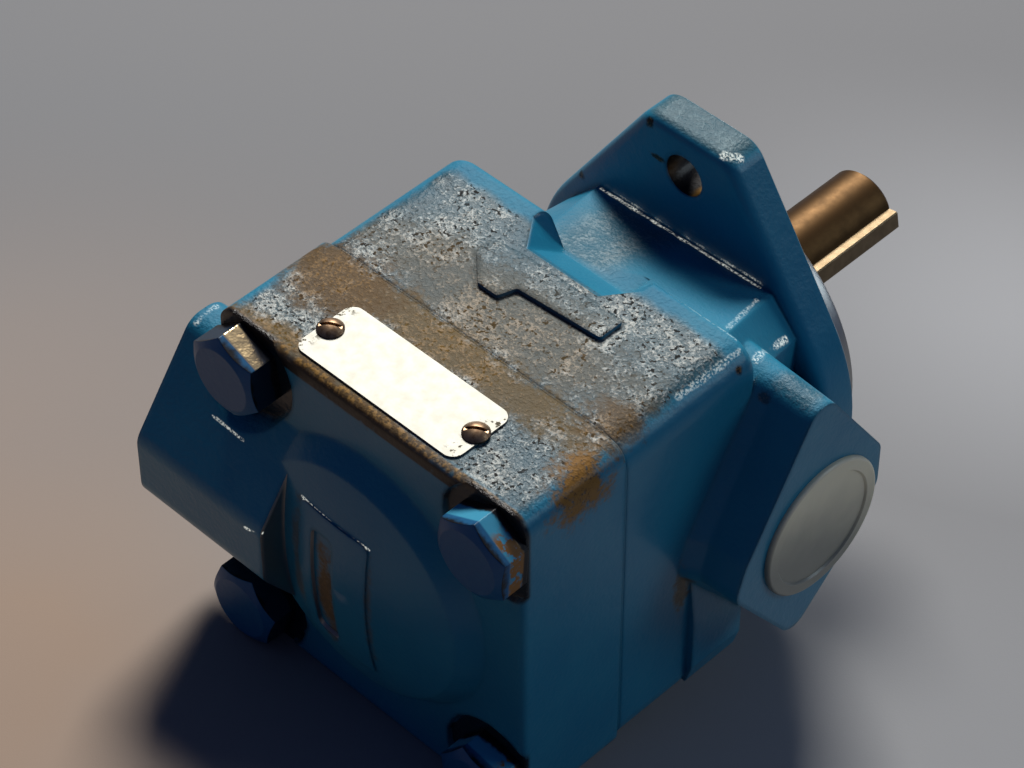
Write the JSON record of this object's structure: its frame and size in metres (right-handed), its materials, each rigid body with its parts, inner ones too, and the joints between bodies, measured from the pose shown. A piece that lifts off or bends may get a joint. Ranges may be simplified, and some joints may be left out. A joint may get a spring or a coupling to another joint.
{
  "type": "hydraulic vane pump",
  "caption": "Square bodied hydraulic vane pump with a two-bolt oval flange, a keyed shaft, a capped side inlet, and an outlet boss on its bolted rear cover.",
  "frame": {"origin": "centre of the mounting face on the shaft axis, at the root of the pilot spigot", "axes": "+Y along the shaft, out of the pump; +Z to the side with the cast arrow and the nameplate; +X to the inlet port"},
  "size_m": [0.1257, 0.1843, 0.13],
  "materials": {
    "enamel": "semi-gloss blue enamel over cast iron, worn, greasy and rusty in places",
    "bolt_steel": "zinc plated steel with chipped blue paint",
    "plate_aluminium": "bright satin sheet",
    "screw_steel": "rusty brown",
    "shaft_steel": "ground, oiled",
    "bearing_steel": "ground",
    "cage_brass": "pressed",
    "spring_steel": "blackened",
    "hard_steel": "ground and hardened",
    "plate_iron": "machined",
    "bush_bronze": "turned",
    "seal_rubber": "matte",
    "cap_plastic": "translucent off-white"
  },
  "bodies": {
    "housing": {"body": "enamel", "cover": "enamel", "cover_bolts": "bolt_steel", "nameplate": "plate_aluminium", "nameplate_screws": "screw_steel", "bearing_outer_race": "bearing_steel", "bearing_retaining_ring": "spring_steel", "shaft_seal": "seal_rubber", "cam_ring": "hard_steel", "pressure_plate": "plate_iron", "rear_bush": "bush_bronze", "plate_spring": "spring_steel", "cover_seal": "seal_rubber", "plate_seal": "seal_rubber", "locating_pins": "hard_steel"},
    "drive": {"shaft": "shaft_steel", "shaft_key": "shaft_steel", "bearing_inner_race": "bearing_steel", "shaft_retaining_ring": "spring_steel", "rotor": "hard_steel"},
    "ball_train": {"bearing_balls": "bearing_steel", "bearing_cage": "cage_brass"},
    "plug": {"inlet_cap": "cap_plastic"},
    "vane_01_blade": {"vane_01": "hard_steel"},
    "vane_02_blade": {"vane_02": "hard_steel"},
    "vane_03_blade": {"vane_03": "hard_steel"},
    "vane_04_blade": {"vane_04": "hard_steel"},
    "vane_05_blade": {"vane_05": "hard_steel"},
    "vane_06_blade": {"vane_06": "hard_steel"},
    "vane_07_blade": {"vane_07": "hard_steel"},
    "vane_08_blade": {"vane_08": "hard_steel"},
    "vane_09_blade": {"vane_09": "hard_steel"},
    "vane_10_blade": {"vane_10": "hard_steel"},
    "vane_11_blade": {"vane_11": "hard_steel"},
    "vane_12_blade": {"vane_12": "hard_steel"}
  },
  "joints": [
    {"name": "shaft_spin", "type": "hinge", "parent": "housing", "child": "drive", "pos_m": [0, 0, 0], "axis": [0, -1, 0], "continuous": true},
    {"name": "ball_train_spin", "type": "hinge", "parent": "housing", "child": "ball_train", "pos_m": [0, -0.007, 0], "axis": [0, -1, 0], "continuous": true},
    {"name": "cap_pull", "type": "slide", "parent": "housing", "child": "plug", "axis": [1, 0, 0], "range_m": [0, 0.03]},
    {"name": "vane_01_slide", "type": "slide", "parent": "drive", "child": "vane_01_blade", "axis": [0.9659, 0, 0.2588], "range_m": [0, 0.00279]},
    {"name": "vane_02_slide", "type": "slide", "parent": "drive", "child": "vane_02_blade", "axis": [0.7071, 0, 0.7071], "range_m": [0, 0.0015]},
    {"name": "vane_03_slide", "type": "slide", "parent": "drive", "child": "vane_03_blade", "axis": [0.2588, 0, 0.9659], "range_m": [0, 0.0002]},
    {"name": "vane_04_slide", "type": "slide", "parent": "drive", "child": "vane_04_blade", "axis": [-0.2588, 0, 0.9659], "range_m": [0, 0.0002]},
    {"name": "vane_05_slide", "type": "slide", "parent": "drive", "child": "vane_05_blade", "axis": [-0.7071, 0, 0.7071], "range_m": [0, 0.0015]},
    {"name": "vane_06_slide", "type": "slide", "parent": "drive", "child": "vane_06_blade", "axis": [-0.9659, 0, 0.2588], "range_m": [0, 0.00279]},
    {"name": "vane_07_slide", "type": "slide", "parent": "drive", "child": "vane_07_blade", "axis": [-0.9659, 0, -0.2588], "range_m": [0, 0.00279]},
    {"name": "vane_08_slide", "type": "slide", "parent": "drive", "child": "vane_08_blade", "axis": [-0.7071, 0, -0.7071], "range_m": [0, 0.0015]},
    {"name": "vane_09_slide", "type": "slide", "parent": "drive", "child": "vane_09_blade", "axis": [-0.2588, 0, -0.9659], "range_m": [0, 0.0002]},
    {"name": "vane_10_slide", "type": "slide", "parent": "drive", "child": "vane_10_blade", "axis": [0.2588, 0, -0.9659], "range_m": [0, 0.0002]},
    {"name": "vane_11_slide", "type": "slide", "parent": "drive", "child": "vane_11_blade", "axis": [0.7071, 0, -0.7071], "range_m": [0, 0.0015]},
    {"name": "vane_12_slide", "type": "slide", "parent": "drive", "child": "vane_12_blade", "axis": [0.9659, 0, -0.2588], "range_m": [0, 0.00279]}
  ],
  "couplings": [
    {"joint": "ball_train_spin", "follows": "shaft_spin", "ratio": 0.38149}
  ]
}
